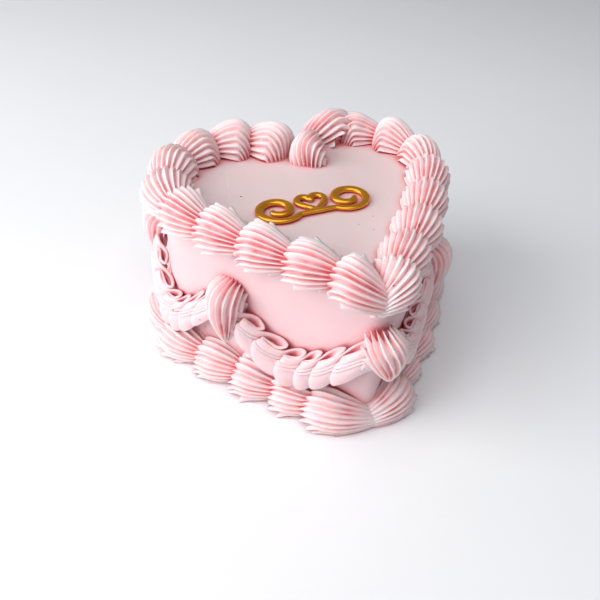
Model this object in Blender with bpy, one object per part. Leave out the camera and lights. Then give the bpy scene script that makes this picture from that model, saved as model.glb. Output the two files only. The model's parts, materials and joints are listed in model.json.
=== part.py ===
"""A heart shaped butter cream cake with piped borders, in metres, +Z up.

The cake stands on z = 0 with its heart axis along Y and its point towards -Y.
Every piped piece is a solid of its own: two rows of ridged shells, six drop
shells with six ruffled garlands between them, and a gilt ornament on top.
"""
import math
import random

import bmesh
import bpy
from mathutils import Vector

MM = 0.001
UP = Vector((0, 0, 1))

# Clearance between pieces that touch, and what counts as a sliver
GAP = 0.3 * MM
ROOM_SWELL = 0.39 * MM
SLIVER = 0.05 * MM
FLAT_ANGLE = math.radians(0.5)
TABLE_REACH = 200 * MM
TABLE_DEPTH = 30 * MM

# Cake body: two lobe arcs, two long side arcs and a rounded point
CAKE_HEIGHT = 85 * MM
LOBE_RADIUS = 42 * MM
LOBE_X = 31.4 * MM
LOBE_Y = 27.5 * MM
SIDE_RADIUS = 300 * MM
LOBE_JOIN = math.radians(-31.5)
TIP_RADIUS = 7 * MM
LOBE_STEPS = 15
SIDE_STEPS = 5
TIP_STEPS = 3

# Form of one piped shell, as shares of its length and half width
RIDGES = 7
RIDGE_DEPTH = 0.16
RIDGED_ARC = math.radians(250)
STATIONS = (0.03, 0.16, 0.42, 0.72)
WIDEST = 0.32
TAIL_SHARE = 0.16
END_STEP = 0.1
BLUNTNESS = 2.8
TAPER = 1.6
HIDDEN_POINTS = 2
UNEVEN = 0.045
UNEVEN_TURN = math.radians(4)
UNEVEN_SEED = 14

# Row of shells along the top edge. Places are arc lengths from the point of the heart. A bracket
# of four is a start value, an end value, and the first and last shell between which it grows.
TOP_ROW = {
    "count": {"right": 9, "left": 10},
    "first": {"right": 1 * MM, "left": 13.5 * MM},
    "pitch": {"right": 24.4 * MM, "left": 24.4 * MM},
    "stretch": {"right": 0, "left": -0.2 * MM},
    "length": 34 * MM,
    "head_share": 0.36,
    "half_width": 12.6 * MM,
    "half_height": 13.4 * MM,
    "offset": {"right": (-4.4 * MM, -2.4 * MM, 0, 8), "left": (-3.2 * MM, 1.6 * MM, 4, 9)},
    "size": {"right": (1, 1.05, 0, 8), "left": (1, 1.16, 4, 9)},
    "z": CAKE_HEIGHT + 1.2 * MM,
    "lean": math.radians(62),
    "point_tail": (7 * MM, 12 * MM),
}

# Row of shells round the base
BASE_ROW = {
    "count": {"right": 9, "left": 9},
    "first": {"right": 11 * MM, "left": 16 * MM},
    "pitch": {"right": 22.3 * MM, "left": 21 * MM},
    "stretch": {"right": 0.4 * MM, "left": 0.5 * MM},
    "length": 34 * MM,
    "head_share": 0.38,
    "half_width": 15.6 * MM,
    "half_height": 13.2 * MM,
    "offset": {"right": (-1 * MM, 5 * MM, 0, 4), "left": (0.6 * MM, 1.6 * MM, 4, 8)},
    "size": {"right": (1, 1.05, 0, 4), "left": (1, 1.03, 4, 8)},
    "z": 6.6 * MM,
    "lean": math.radians(42),
    "point_tail": (7 * MM, 4 * MM),
}
TAIL_PAST_POINT = -6.5 * MM
UPRIGHT = math.pi / 2

# Extra shell that pours from the notch onto the top
NOTCH_SHELL_HEAD = (6.5 * MM, 39 * MM)
NOTCH_SHELL_TAIL = (19 * MM, 59 * MM)
NOTCH_SHELL_RISE = 8 * MM
NOTCH_SHELL_WIDTH = 11 * MM
NOTCH_SHELL_HEIGHT = 14 * MM

# The last shell of the right row is piped the other way round and heaped up beside it
PILE_NAME = "top_shell_right_09"
PILE_SPINE = {"front": 174 * MM, "tail": 214 * MM, "offset": -2.4 * MM, "z": CAKE_HEIGHT + 2.4 * MM,
              "tail_fall": 3 * MM}
PILE_LEAN = math.radians(100)

# Drop shells on the side, head up, and the places along the edge where they hang
DROP_PLACES = (0, 79 * MM, 149 * MM)
DROP_HALF_DEPTH = 12 * MM
DROP_TAIL_OUT = 5 * MM
SIDE_DROP = {"top": 64 * MM, "length": 36 * MM, "half_width": 10.2 * MM, "out": 4 * MM}
POINT_DROP = {"head": -1 * MM, "tail": 1.5 * MM, "length": 28 * MM, "half_width": 11.4 * MM, "out": 3 * MM}
LEFT_DROPS = {
    "left_1": {"head": -77.5 * MM, "tail": -75 * MM, "top": 66 * MM, "half_width": 9.7 * MM, "out": 3 * MM},
    "left_2": {"top": 70 * MM},
}

# Garlands between the drops: a skirt of petals under a band with folded loops over it
FOLDS = {
    "right": (0, 0.13, 0.29, 0.41, 0.56, 0.7, 0.86, 1),
    "left": (0, 0.115, 0.245, 0.425, 0.56, 0.665, 0.81, 1),
}
PETAL_STEPS = ((0, 0.68), (0.3, 1.0), (0.7, 0.97))
BAND_Z = 50 * MM
GARLAND_SAG = 20 * MM
SAG_SHAPE = 1.3
SHORTEST_PETAL = 0.62
BAND_OUT = 4.5 * MM
PETAL_FALL = 15 * MM
PETAL_OUT = 9.5 * MM
PETAL_THICK = 3.4 * MM
PETAL_LIP = 0.4 * MM
PETAL_ROOT = 0.55
LOOP_RISE = 12 * MM
LOOP_OUT = 7 * MM
LOOP_LIFT = 1.68
LOOP_BACK = 0.8
LOOP_CREST = 0.55
LOOP_FOOT = 0.35
WALL_GAP = 0.45 * MM
NOTCH_ROOM = 7 * MM
GARLAND_TUCK = 3 * MM

# Gilt ornament on the top: a small open heart between two scrolls
ORNAMENT_X = -4.5 * MM
ORNAMENT_Y = 3.5 * MM
STROKE_RADIUS = 2.1 * MM
STROKE_FLATNESS = 0.6
SCROLL_X = 19 * MM
SCROLL_RADIUS = 10.5 * MM
SCROLL_TURNS = 1.35
SCROLL_START = math.radians(-140)
SCROLL_SHRINK = 0.72
SCROLL_STRETCH = 1.15
SCROLL_FOOT = (-2 * MM, -6.5 * MM)
SCROLL_STEPS = 12
SMALL_HEART = 0.46 * MM
SMALL_HEART_RISE = 3
SMALL_HEART_STEPS = 16

CAKE = bpy.data.collections.new("heart_shaped_cake")
CUTTERS = bpy.data.collections.new("cutters")

# Centres of the side arcs and of the point's arc follow from the lobes
SIDE_X = LOBE_X - (SIDE_RADIUS - LOBE_RADIUS) * math.cos(LOBE_JOIN)
SIDE_Y = LOBE_Y - (SIDE_RADIUS - LOBE_RADIUS) * math.sin(LOBE_JOIN)
TIP_Y = SIDE_Y - math.sqrt((SIDE_RADIUS - TIP_RADIUS) ** 2 - SIDE_X ** 2)
TIP_JOIN = math.atan2(TIP_Y - SIDE_Y, -SIDE_X)
TIP_ARC = TIP_RADIUS * (TIP_JOIN + math.pi / 2)
SIDE_ARC = SIDE_RADIUS * (LOBE_JOIN - TIP_JOIN)
NOTCH_ANGLE = math.pi - math.acos(LOBE_X / LOBE_RADIUS)
LOBE_ARC = LOBE_RADIUS * (NOTCH_ANGLE - LOBE_JOIN)
HALF_EDGE = TIP_ARC + SIDE_ARC + LOBE_ARC


def edge(s, offset=0.0):
    """Point of the heart at arc length s from its point, right side for s > 0, moved out by offset."""
    side = 1 if s >= 0 else -1
    s = abs(s)
    if s < TIP_ARC:
        x, y, radius, angle = 0.0, TIP_Y, TIP_RADIUS, s / TIP_RADIUS - math.pi / 2
    elif s < TIP_ARC + SIDE_ARC:
        x, y, radius, angle = SIDE_X, SIDE_Y, SIDE_RADIUS, TIP_JOIN + (s - TIP_ARC) / SIDE_RADIUS
    else:
        x, y, radius = LOBE_X, LOBE_Y, LOBE_RADIUS
        angle = LOBE_JOIN + (s - TIP_ARC - SIDE_ARC) / LOBE_RADIUS
    reach = radius + offset
    return Vector((side * (x + reach * math.cos(angle)), y + reach * math.sin(angle), 0))


def outward(s):
    """Horizontal direction out of the cake at arc length s."""
    return (edge(s, 1.0) - edge(s)).normalized()


def material(name, colour, roughness, metallic=0.0):
    """Principled material with one colour."""
    made = bpy.data.materials.new(name)
    made.use_nodes = True
    made.diffuse_color = (*colour, 1)
    shader = made.node_tree.nodes["Principled BSDF"]
    shader.inputs["Base Color"].default_value = (*colour, 1)
    shader.inputs["Roughness"].default_value = roughness
    shader.inputs["Metallic"].default_value = metallic
    return made


def mesh_object(name, bm, look=None):
    """Object from a bmesh, a part if it has a look and else a cutter."""
    bmesh.ops.triangulate(bm, faces=bm.faces)
    bmesh.ops.recalc_face_normals(bm, faces=bm.faces)
    shape = bpy.data.meshes.new(name)
    bm.to_mesh(shape)
    bm.free()
    made = bpy.data.objects.new(name, shape)
    if look is None:
        made.hide_render = True
        made.display_type = "WIRE"
        CUTTERS.objects.link(made)
    else:
        shape.materials.append(look)
        CAKE.objects.link(made)
    return made


def close_rings(bm, rings, front=None, tail=None):
    """Skin between rings of vertices, each end closed by a point or by a face."""
    count = len(rings[0])
    for near, far in zip(rings, rings[1:]):
        for i in range(count):
            bm.faces.new((near[i], near[(i + 1) % count], far[(i + 1) % count], far[i]))
    for ring, end in ((rings[0], front), (rings[-1], tail)):
        if end is None:
            bm.faces.new(ring)
            continue
        point = bm.verts.new(end)
        for i in range(count):
            bm.faces.new((ring[i], ring[(i + 1) % count], point))


def shell_profile(t):
    """Half width of a shell at share t of its length: a round head, then a long taper."""
    if t < WIDEST:
        return (1 - (1 - t / WIDEST) ** BLUNTNESS) ** (1 / BLUNTNESS)
    return 1 - (1 - TAIL_SHARE) * ((t - WIDEST) / (1 - WIDEST)) ** TAPER


def ring_shares(lean):
    """Angles and radius shares of one ring: crest and groove in turn, then the plain hidden back."""
    start = lean - RIDGED_ARC / 2
    ridged = 2 * RIDGES
    shares = [(start + RIDGED_ARC * i / ridged, 1 - RIDGE_DEPTH * (1 - i % 2)) for i in range(ridged + 1)]
    rest = 2 * math.pi - RIDGED_ARC
    for i in range(1, HIDDEN_POINTS + 1):
        shares.append((start + RIDGED_ARC + rest * i / (HIDDEN_POINTS + 1), 1 - RIDGE_DEPTH))
    return shares


def shell(frame, half_a, half_b, lean, swell=0.0):
    """Bmesh of one ridged shell; frame(t) gives centre and two directions across the shell."""
    bm = bmesh.new()
    rings = []
    for t in STATIONS:
        centre, a, b = frame(t)
        size = shell_profile(t)
        ring = []
        for angle, share in ring_shares(lean):
            across = a * ((half_a * size * share + swell) * math.cos(angle))
            out = b * ((half_b * size * share + swell) * math.sin(angle))
            ring.append(bm.verts.new(centre + across + out))
        rings.append(ring)
    head, tail = frame(0.0)[0], frame(1.0)[0]
    head += (head - frame(END_STEP)[0]).normalized() * swell
    tail += (tail - frame(1 - END_STEP)[0]).normalized() * swell
    close_rings(bm, rings, head, tail)
    return bm


def row_frame(front, tail, offset, z, tail_out=0.0, tail_fall=0.0):
    """Spine along the edge from arc length front to arc length tail, bent as the edge bends."""
    start, end = edge(front, offset), edge(tail, offset + tail_out)
    through = edge((front + tail) / 2, offset + tail_out / 4)
    control = through * 2 - (start + end) / 2
    turn = 1 if front > tail else -1

    def frame(t):
        place = start * (1 - t) ** 2 + control * (2 * t * (1 - t)) + end * t * t
        run = (control - start) * (1 - t) + (end - control) * t
        out = Vector((run.y, -run.x, 0)).normalized() * -turn
        return place + UP * (z - tail_fall * t * t), out, UP

    return frame


def upright_frame(drop):
    """Spine that hangs down the side of the cake from the drop's top, its tail over the garlands."""
    head = edge(drop["head"], drop["out"]) + UP * drop["top"]
    tail = edge(drop["tail"], drop["out"] + DROP_TAIL_OUT) + UP * (drop["top"] - drop["length"])
    out = outward((drop["head"] + drop["tail"]) / 2)
    side = UP.cross(out)

    def frame(t):
        return head.lerp(tail, t), side, out

    return frame


def straight_frame(start, end):
    """Spine on a straight line between two points."""
    run = (end - start).normalized()
    side = run.cross(UP).normalized()

    def frame(t):
        return start.lerp(end, t), side, UP

    return frame


def prism(outline, low, high):
    """Bmesh of an upright prism over a closed flat outline, by way of a filled curve."""
    curve = bpy.data.curves.new("outline", "CURVE")
    curve.dimensions = "2D"
    curve.fill_mode = "BOTH"
    curve.extrude = (high - low) / 2
    spline = curve.splines.new("POLY")
    spline.points.add(len(outline) - 1)
    for slot, point in zip(spline.points, outline):
        slot.co = (point.x, point.y, 0, 1)
    spline.use_cyclic_u = True
    flat = bpy.data.objects.new("outline", curve)
    CUTTERS.objects.link(flat)
    bpy.context.view_layer.update()
    shape = bpy.data.meshes.new_from_object(flat.evaluated_get(bpy.context.evaluated_depsgraph_get()))
    bm = bmesh.new()
    bm.from_mesh(shape)
    bmesh.ops.translate(bm, verts=bm.verts, vec=UP * ((high + low) / 2))
    bmesh.ops.remove_doubles(bm, verts=bm.verts, dist=SLIVER)
    bpy.data.objects.remove(flat)
    bpy.data.meshes.remove(shape)
    return bm


def heart_outline(offset=0.0):
    """Points round the heart: tip arc, side arcs and lobes, closed at the notch."""
    places = [TIP_ARC * i / TIP_STEPS for i in range(TIP_STEPS)]
    places += [TIP_ARC + SIDE_ARC * i / SIDE_STEPS for i in range(SIDE_STEPS)]
    places += [TIP_ARC + SIDE_ARC + LOBE_ARC * i / LOBE_STEPS for i in range(LOBE_STEPS)]
    notch_y = LOBE_Y + math.sqrt((LOBE_RADIUS + offset) ** 2 - LOBE_X ** 2)
    right = [edge(s, offset) for s in places]
    left = [edge(-s, offset) for s in places[:0:-1]]
    return right + [Vector((0, notch_y, 0))] + left


def islands(bm):
    """Groups of triangles that hang together."""
    left = set(bm.faces)
    while left:
        group, queue = set(), [left.pop()]
        while queue:
            face = queue.pop()
            group.add(face)
            for side in face.edges:
                for other in side.link_faces:
                    if other in left:
                        left.discard(other)
                        queue.append(other)
        yield group


def bulk(faces):
    """Six times the volume inside triangles."""
    return abs(sum(f.verts[0].co.dot(f.verts[1].co.cross(f.verts[2].co)) for f in faces))


def closed(bm):
    """True where every edge has two faces and the solid holds something."""
    return len(bm.faces) > 0 and all(len(e.link_faces) == 2 for e in bm.edges)


def volume(part):
    """Volume of a solid."""
    bm = bmesh.new()
    bm.from_mesh(part.data)
    held = bm.calc_volume()
    bm.free()
    return held


def combine(part, other, operation):
    """One Boolean, by the exact solver, or by the manifold one where the exact one fails."""
    before = volume(part)
    most = before if operation == "DIFFERENCE" else before + volume(other)
    for solver in ("EXACT", "MANIFOLD"):
        step = part.modifiers.new("step", "BOOLEAN")
        step.object = other
        step.operation = operation
        step.solver = solver
        bpy.context.view_layer.update()
        shape = bpy.data.meshes.new_from_object(part.evaluated_get(bpy.context.evaluated_depsgraph_get()))
        part.modifiers.clear()
        bm = bmesh.new()
        bm.from_mesh(shape)
        bpy.data.meshes.remove(shape)
        sound = closed(bm) and bm.calc_volume() <= most * 1.001
        if sound:
            bm.to_mesh(part.data)
        bm.free()
        if sound:
            return


def tidy(part):
    """Merge slivers, drop loose scraps, and leave the mesh as it was where that would open it."""
    bm = bmesh.new()
    bm.from_mesh(part.data)
    groups = sorted(islands(bm), key=bulk)
    for scrap in groups[:-1]:
        bmesh.ops.delete(bm, geom=list(scrap), context="FACES")
    loose = [v for v in bm.verts if not v.link_faces]
    bmesh.ops.delete(bm, geom=loose, context="VERTS")
    bm.to_mesh(part.data)
    bmesh.ops.dissolve_limit(bm, angle_limit=FLAT_ANGLE, verts=bm.verts, edges=bm.edges)
    bmesh.ops.remove_doubles(bm, verts=bm.verts, dist=SLIVER)
    bmesh.ops.triangulate(bm, faces=bm.faces)
    if closed(bm):
        bm.to_mesh(part.data)
    bm.free()


def carve(part, cutters):
    """Cut the part by its neighbours and tidy what is left."""
    for cutter in cutters:
        combine(part, cutter, "DIFFERENCE")
    tidy(part)


def near(part, cutter):
    """True where the two boxes touch."""
    boxes = []
    for thing in (part, cutter):
        points = [v.co for v in thing.data.vertices]
        boxes.append([(min(p[k] for p in points), max(p[k] for p in points)) for k in range(3)])
    return all(a[0] < b[1] and b[0] < a[1] for a, b in zip(*boxes))


def ramp(i, start, end, first, last):
    """Value for shell i of a row."""
    return start + (end - start) * min(max((i - first) / (last - first), 0), 1)


def row_plans(kind, label, row):
    """One row on one side as name, spine, half width, half height and lean, counted from the point."""
    side = 1 if label == "right" else -1
    plans = []
    for i in range(row["count"][label]):
        middle = row["first"][label] + row["pitch"][label] * i + row["stretch"][label] * i * i
        front = middle + row["length"] * row["head_share"]
        back = max(front - row["length"], TAIL_PAST_POINT)
        out, fall = row["point_tail"] if i == 0 else (0, 0)
        frame = row_frame(side * front, side * back, ramp(i, *row["offset"][label]), row["z"], out, fall)
        size = ramp(i, *row["size"][label])
        name, lean = f"{kind}_{label}_{i + 1:02d}", row["lean"]
        if name == PILE_NAME:
            frame, lean = row_frame(**PILE_SPINE), PILE_LEAN
        plans.append((name, frame, row["half_width"] * size, row["half_height"] * size, lean))
    return plans


def notch_shell_plan():
    """The extra shell that pours from the notch onto the top."""
    head = Vector((*NOTCH_SHELL_HEAD, CAKE_HEIGHT))
    tail = Vector((*NOTCH_SHELL_TAIL, CAKE_HEIGHT + NOTCH_SHELL_RISE))
    return "top_shell_notch", straight_frame(head, tail), NOTCH_SHELL_WIDTH, NOTCH_SHELL_HEIGHT, UPRIGHT


def shell_plans():
    """Every shell as name, spine, half width, half height and lean, those that lie over others first."""
    plans = [notch_shell_plan()]
    for kind, row in (("top_shell", TOP_ROW), ("base_shell", BASE_ROW)):
        plans += row_plans(kind, "right", row) + row_plans(kind, "left", row)
    for label, drop in drops():
        half_sizes = drop["half_width"], DROP_HALF_DEPTH
        plans.append((f"drop_shell_{label}", upright_frame(drop), *half_sizes, UPRIGHT))
    return plans


def piped_shells(look):
    """Each shell with its swollen twin, no two quite the same size or turn."""
    draw = random.Random(UNEVEN_SEED)
    made = []
    for name, frame, half_a, half_b, lean in shell_plans():
        size = 1 + draw.uniform(-UNEVEN, UNEVEN)
        turn = lean + draw.uniform(-UNEVEN_TURN, UNEVEN_TURN)
        solid = mesh_object(name, shell(frame, half_a * size, half_b * size, turn), look)
        twin = mesh_object(name + "_room", shell(frame, half_a * size, half_b * size, turn, ROOM_SWELL))
        made.append((solid, twin))
    return made


def drops():
    """Name and sizes of each drop: at the point, in the notch, two on each side."""
    places = {"point": 0, "notch": HALF_EDGE}
    for number, s in enumerate(DROP_PLACES[1:], 1):
        places[f"right_{number}"] = s
        places[f"left_{number}"] = -s
    own = {"point": POINT_DROP, **LEFT_DROPS}
    return [(label, {**SIDE_DROP, "head": s, "tail": s, **own.get(label, {})}) for label, s in places.items()]


def garland(name, start, end, folds, look):
    """Ruffle between two places on the edge: a closed strip whose section swells at every fold."""
    bm = bmesh.new()
    rings = []
    stations = [(first + (last - first) * share, full)
                for first, last in zip(folds, folds[1:]) for share, full in PETAL_STEPS]
    for t, petal in stations + [(1, PETAL_STEPS[0][1])]:
        s = start + (end - start) * t
        hang = math.sin(math.pi * t)
        band = BAND_Z - GARLAND_SAG * hang ** SAG_SHAPE
        fall = PETAL_FALL * (SHORTEST_PETAL + (1 - SHORTEST_PETAL) * hang)
        loop = LOOP_LIFT - petal
        section = ((WALL_GAP, band + LOOP_RISE * loop * LOOP_BACK),
                   (LOOP_OUT * loop * LOOP_CREST, band + LOOP_RISE * loop),
                   (LOOP_OUT * loop, band + LOOP_RISE * LOOP_FOOT),
                   (BAND_OUT, band),
                   (PETAL_OUT * petal, band - fall * petal),
                   (PETAL_OUT * petal - PETAL_THICK, band - fall * petal - PETAL_LIP),
                   (WALL_GAP, band - fall * PETAL_ROOT))
        rings.append([bm.verts.new(edge(s, out) + UP * z) for out, z in section])
    close_rings(bm, rings)
    return mesh_object(name, bm, look)


def garlands(look):
    """The six garlands, from drop to drop."""
    stops = [*DROP_PLACES, HALF_EDGE - NOTCH_ROOM]
    made = []
    for side, label in ((1, "right"), (-1, "left")):
        for number, (start, end) in enumerate(zip(stops, stops[1:]), 1):
            name = f"garland_{label}_{number}"
            far, near = side * (end - GARLAND_TUCK), side * (start + GARLAND_TUCK)
            made.append(garland(name, far, near, FOLDS[label], look))
    return made


def scroll_points(side):
    """Spiral stroke from the ornament's foot out and round to its curl."""
    points = [(side * SCROLL_FOOT[0], SCROLL_FOOT[1])]
    for i in range(SCROLL_STEPS + 1):
        share = i / SCROLL_STEPS
        angle = SCROLL_START + share * SCROLL_TURNS * 2 * math.pi
        radius = SCROLL_RADIUS * (1 - SCROLL_SHRINK * share)
        across = SCROLL_X + SCROLL_STRETCH * radius * math.cos(angle)
        points.append((side * across, radius * math.sin(angle)))
    return points


def small_heart_points():
    """Closed outline of the small open heart, from the well known heart formula of sines."""
    points = []
    for i in range(SMALL_HEART_STEPS):
        a = 2 * math.pi * i / SMALL_HEART_STEPS
        rise = 13 * math.cos(a) - 5 * math.cos(2 * a) - 2 * math.cos(3 * a) - math.cos(4 * a)
        points.append((16 * math.sin(a) ** 3 * SMALL_HEART, (rise + SMALL_HEART_RISE) * SMALL_HEART))
    return points


def stroke(points, closed):
    """Mesh of one round stroke through the points, flattened onto the cake."""
    curve = bpy.data.curves.new("stroke", "CURVE")
    curve.dimensions = "3D"
    curve.bevel_depth = STROKE_RADIUS
    curve.bevel_resolution = 1
    curve.use_fill_caps = True
    spline = curve.splines.new("POLY")
    spline.points.add(len(points) - 1)
    for slot, (x, y) in zip(spline.points, points):
        slot.co = (x, y, 0, 1)
    spline.use_cyclic_u = closed
    line = bpy.data.objects.new("stroke", curve)
    CUTTERS.objects.link(line)
    bpy.context.view_layer.update()
    shape = bpy.data.meshes.new_from_object(line.evaluated_get(bpy.context.evaluated_depsgraph_get()))
    bm = bmesh.new()
    bm.from_mesh(shape)
    bmesh.ops.remove_doubles(bm, verts=bm.verts, dist=SLIVER)
    bmesh.ops.scale(bm, verts=bm.verts, vec=(1, 1, STROKE_FLATNESS))
    lift = CAKE_HEIGHT + GAP + STROKE_RADIUS * STROKE_FLATNESS
    bmesh.ops.translate(bm, verts=bm.verts, vec=(ORNAMENT_X, ORNAMENT_Y, lift))
    bpy.data.objects.remove(line)
    bpy.data.meshes.remove(shape)
    return bm


def ornament(look):
    """The gilt ornament, its strokes joined into one solid."""
    solid = mesh_object("gilt_ornament", stroke(scroll_points(1), False), look)
    others = [stroke(scroll_points(-1), False), stroke(small_heart_points(), True)]
    joined = [mesh_object("stroke", bm) for bm in others]
    for other in joined:
        combine(solid, other, "UNION")
        bpy.data.objects.remove(other)
    tidy(solid)
    return solid


def build_cake():
    """Body first, then every piped piece cut clear of what it lies against."""
    for old in list(bpy.data.objects):
        bpy.data.objects.remove(old)
    bpy.context.scene.collection.children.link(CAKE)
    bpy.context.scene.collection.children.link(CUTTERS)
    icing = material("smooth_butter_cream", (0.83, 0.60, 0.61), 0.55)
    piping = material("piped_butter_cream", (0.86, 0.58, 0.60), 0.5)
    ruffle = material("ruffled_butter_cream", (0.86, 0.62, 0.63), 0.5)
    gilt = material("gilt_sugar", (0.64, 0.34, 0.04), 0.22, 0.9)

    mesh_object("cake_body", prism(heart_outline(), 0, CAKE_HEIGHT), icing)
    body_room = mesh_object("cake_body_room", prism(heart_outline(GAP), -TABLE_DEPTH, CAKE_HEIGHT + GAP))
    corners = [Vector((x, y, 0)) * TABLE_REACH for x, y in ((-1, -1), (1, -1), (1, 1), (-1, 1))]
    table = mesh_object("table_room", prism(corners, -TABLE_DEPTH, 0))
    rooms = []
    for solid, room in piped_shells(piping):
        carve(solid, [body_room, table] + [other for other in rooms if near(solid, other)])
        rooms.append(room)
    for solid in garlands(ruffle):
        carve(solid, [other for other in rooms if near(solid, other)])
    ornament(gilt)


build_cake()
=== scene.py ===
# %% [markdown]
# # A heart shaped butter cream cake
# This lesson dresses a measured model of a cake. The model gives plain solids at the right size
# and place. Each solid is replaced here by a piece with the real form of piped icing: fine
# ridges, curled ends, thin ribbons. Everything is in metres, and the cake stands on z = 0.

import json
import math
import random

import bpy
from mathutils import Matrix, Vector

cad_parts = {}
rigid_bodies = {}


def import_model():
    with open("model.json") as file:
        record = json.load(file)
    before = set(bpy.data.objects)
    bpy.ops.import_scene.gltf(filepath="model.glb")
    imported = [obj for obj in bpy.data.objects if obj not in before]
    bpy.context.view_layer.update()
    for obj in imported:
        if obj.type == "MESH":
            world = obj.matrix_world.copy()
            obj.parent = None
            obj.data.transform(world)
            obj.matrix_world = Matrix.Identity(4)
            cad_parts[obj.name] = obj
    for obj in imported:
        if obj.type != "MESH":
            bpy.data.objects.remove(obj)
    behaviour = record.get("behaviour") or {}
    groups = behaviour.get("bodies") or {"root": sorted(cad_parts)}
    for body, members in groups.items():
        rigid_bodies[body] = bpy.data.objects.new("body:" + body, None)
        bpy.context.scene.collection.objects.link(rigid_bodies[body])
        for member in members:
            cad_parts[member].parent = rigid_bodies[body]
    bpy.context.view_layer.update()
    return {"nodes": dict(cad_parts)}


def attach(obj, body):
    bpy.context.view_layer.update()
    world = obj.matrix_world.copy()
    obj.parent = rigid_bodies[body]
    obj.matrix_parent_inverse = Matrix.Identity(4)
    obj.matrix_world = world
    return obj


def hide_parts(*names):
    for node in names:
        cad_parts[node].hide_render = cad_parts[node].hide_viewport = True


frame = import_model()
MM = 0.001
UP = Vector((0, 0, 1))
print("solids:", len(frame["nodes"]))

# %% [markdown]
# ## The outline of the heart
# A heart tin is two round lobes and two long, slightly bowed sides that meet in a point. So the
# outline is four arcs, and any place on it is one number: the length s walked from the point,
# positive on the right side and negative on the left. All the piping is placed by that number.

# %% The heart as arcs
CAKE_HEIGHT = 85 * MM
LOBE_RADIUS = 42 * MM
LOBE_X = 31.4 * MM
LOBE_Y = 27.5 * MM
SIDE_RADIUS = 300 * MM
LOBE_JOIN = math.radians(-31.5)
TIP_RADIUS = 7 * MM

SIDE_X = LOBE_X - (SIDE_RADIUS - LOBE_RADIUS) * math.cos(LOBE_JOIN)
SIDE_Y = LOBE_Y - (SIDE_RADIUS - LOBE_RADIUS) * math.sin(LOBE_JOIN)
TIP_Y = SIDE_Y - math.sqrt((SIDE_RADIUS - TIP_RADIUS) ** 2 - SIDE_X ** 2)
TIP_JOIN = math.atan2(TIP_Y - SIDE_Y, -SIDE_X)
TIP_ARC = TIP_RADIUS * (TIP_JOIN + math.pi / 2)
SIDE_ARC = SIDE_RADIUS * (LOBE_JOIN - TIP_JOIN)
NOTCH_ANGLE = math.pi - math.acos(LOBE_X / LOBE_RADIUS)
HALF_EDGE = TIP_ARC + SIDE_ARC + LOBE_RADIUS * (NOTCH_ANGLE - LOBE_JOIN)


def edge(s, offset=0.0):
    """Point of the heart at arc length s from its point, moved out by offset."""
    side = 1 if s >= 0 else -1
    s = abs(s)
    if s < TIP_ARC:
        x, y, radius, angle = 0.0, TIP_Y, TIP_RADIUS, s / TIP_RADIUS - math.pi / 2
    elif s < TIP_ARC + SIDE_ARC:
        x, y, radius, angle = SIDE_X, SIDE_Y, SIDE_RADIUS, TIP_JOIN + (s - TIP_ARC) / SIDE_RADIUS
    else:
        x, y, radius = LOBE_X, LOBE_Y, LOBE_RADIUS
        angle = LOBE_JOIN + (s - TIP_ARC - SIDE_ARC) / LOBE_RADIUS
    reach = radius + offset
    return Vector((side * (x + reach * math.cos(angle)), y + reach * math.sin(angle), 0))


def outward(s):
    """Horizontal direction out of the cake at arc length s."""
    return (edge(s, 1.0) - edge(s)).normalized()


print("way round the heart:", round(2 * HALF_EDGE, 4), "m")

# %% [markdown]
# ## The camera
# The picture was taken from the front left, looking down on the cake. The lens is given for a
# square picture of 600 by 600 points, so its width in millimetres follows from the 36 mm sensor.

# %% Camera
PICTURE_SIZE = 600
FOCAL_POINTS = 668.5
SENSOR = 36
CAMERA_PLACE = (-0.1277, -0.2519, 0.2714)
LOOK_DOWN = math.radians(41.41)
LOOK_ASIDE = math.radians(-25.09)
TILT = math.radians(3.89)

camera_data = bpy.data.cameras.new("camera")
camera_data.sensor_width = SENSOR
camera_data.lens = SENSOR * FOCAL_POINTS / PICTURE_SIZE
camera_data.clip_start = 0.01
camera = bpy.data.objects.new("camera", camera_data)
bpy.context.scene.collection.objects.link(camera)
turn = (Matrix.Rotation(LOOK_ASIDE, 4, "Z") @ Matrix.Rotation(math.pi / 2 - LOOK_DOWN, 4, "X")
        @ Matrix.Rotation(TILT, 4, "Z"))
camera.matrix_world = Matrix.Translation(CAMERA_PLACE) @ turn
bpy.context.scene.camera = camera
print("lens:", round(camera_data.lens, 2), "mm")

# %% [markdown]
# ## Colours and shader nodes
# Colours are written as the six digit sRGB values that a colour picker shows, and Blender wants
# linear light, so one function converts them. A second small function gives the inputs of a shader
# node their values, or the outputs of other nodes, and a third adds a node with its settings.

# %% Helpers for materials
def colour(code):
    """Linear colour from an sRGB hex code."""
    parts = [int(code[i:i + 2], 16) / 255 for i in (1, 3, 5)]
    return (*[c / 12.92 if c <= 0.04045 else ((c + 0.055) / 1.055) ** 2.4 for c in parts], 1)


def feed(tree, node, inputs):
    """Give each named input of a shader node a value or a link."""
    for name, value in inputs.items():
        if isinstance(value, bpy.types.NodeSocket):
            tree.links.new(value, node.inputs[name])
        else:
            node.inputs[name].default_value = value


def add_node(tree, kind, inputs, **settings):
    """A shader node with its settings, its values and its links."""
    made = tree.nodes.new("ShaderNode" + kind)
    for name, value in settings.items():
        setattr(made, name, value)
    feed(tree, made, inputs)
    return made


def new_material(name):
    """Material with a Principled shader, its node tree and its shader."""
    made = bpy.data.materials.new(name)
    made.use_nodes = True
    return made, made.node_tree, made.node_tree.nodes["Principled BSDF"]


print("pink:", [round(c, 3) for c in colour("#F6CBD3")])

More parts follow.
